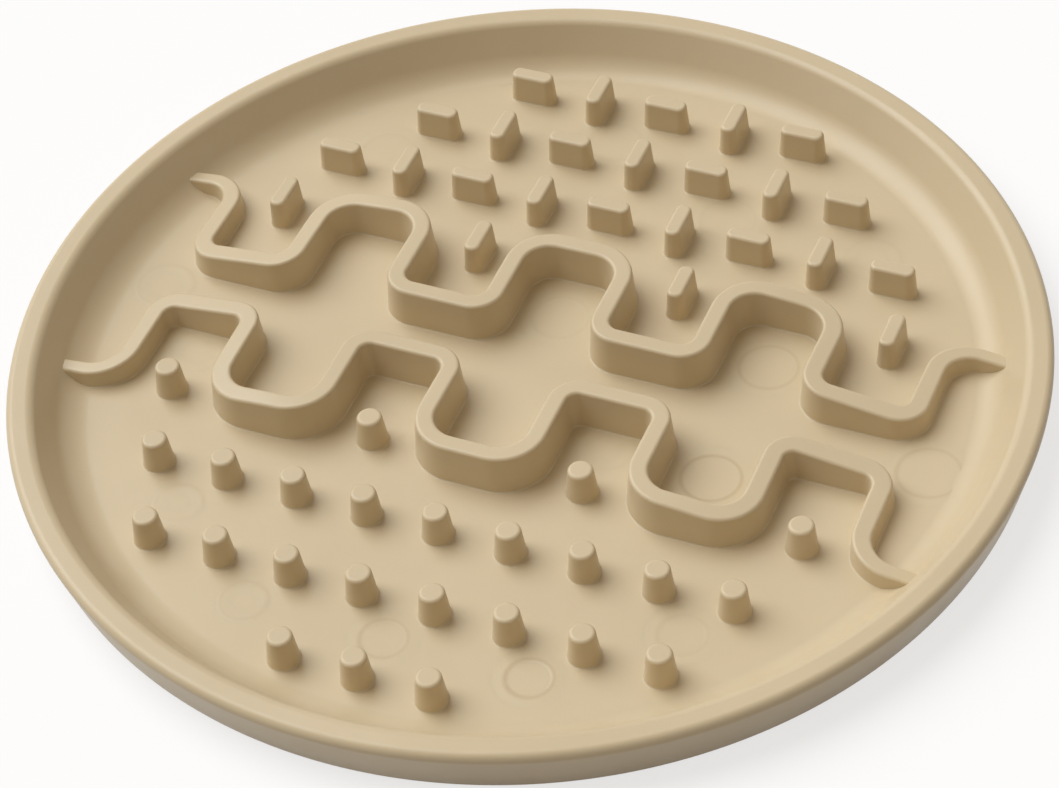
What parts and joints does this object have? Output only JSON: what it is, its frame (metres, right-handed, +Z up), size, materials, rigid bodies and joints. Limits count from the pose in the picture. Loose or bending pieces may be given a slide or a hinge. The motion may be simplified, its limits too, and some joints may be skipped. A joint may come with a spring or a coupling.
{
  "type": "lick mat",
  "caption": "Round soft lick mat with a raised rim, two wave-shaped ridges across its middle, a field of small bars behind and a field of round pegs in front.",
  "frame": {"origin": "middle of the flat underside, on the surface it rests on", "axes": "+Z up, +X along the rows of bars and pegs to the right, +Y to the rear, where the bars are"},
  "size_m": [0.2006, 0.2006, 0.0108],
  "materials": {
    "mat_rubber": "matte"
  },
  "bodies": {
    "root": {"floor_panel": "mat_rubber", "rim_wall": "mat_rubber", "rear_wave_ridge": "mat_rubber", "front_wave_ridge": "mat_rubber", "lengthwise_bars": "mat_rubber", "crosswise_bars": "mat_rubber", "recess_bars": "mat_rubber", "field_pegs": "mat_rubber", "recess_pegs": "mat_rubber"}
  },
  "joints": []
}
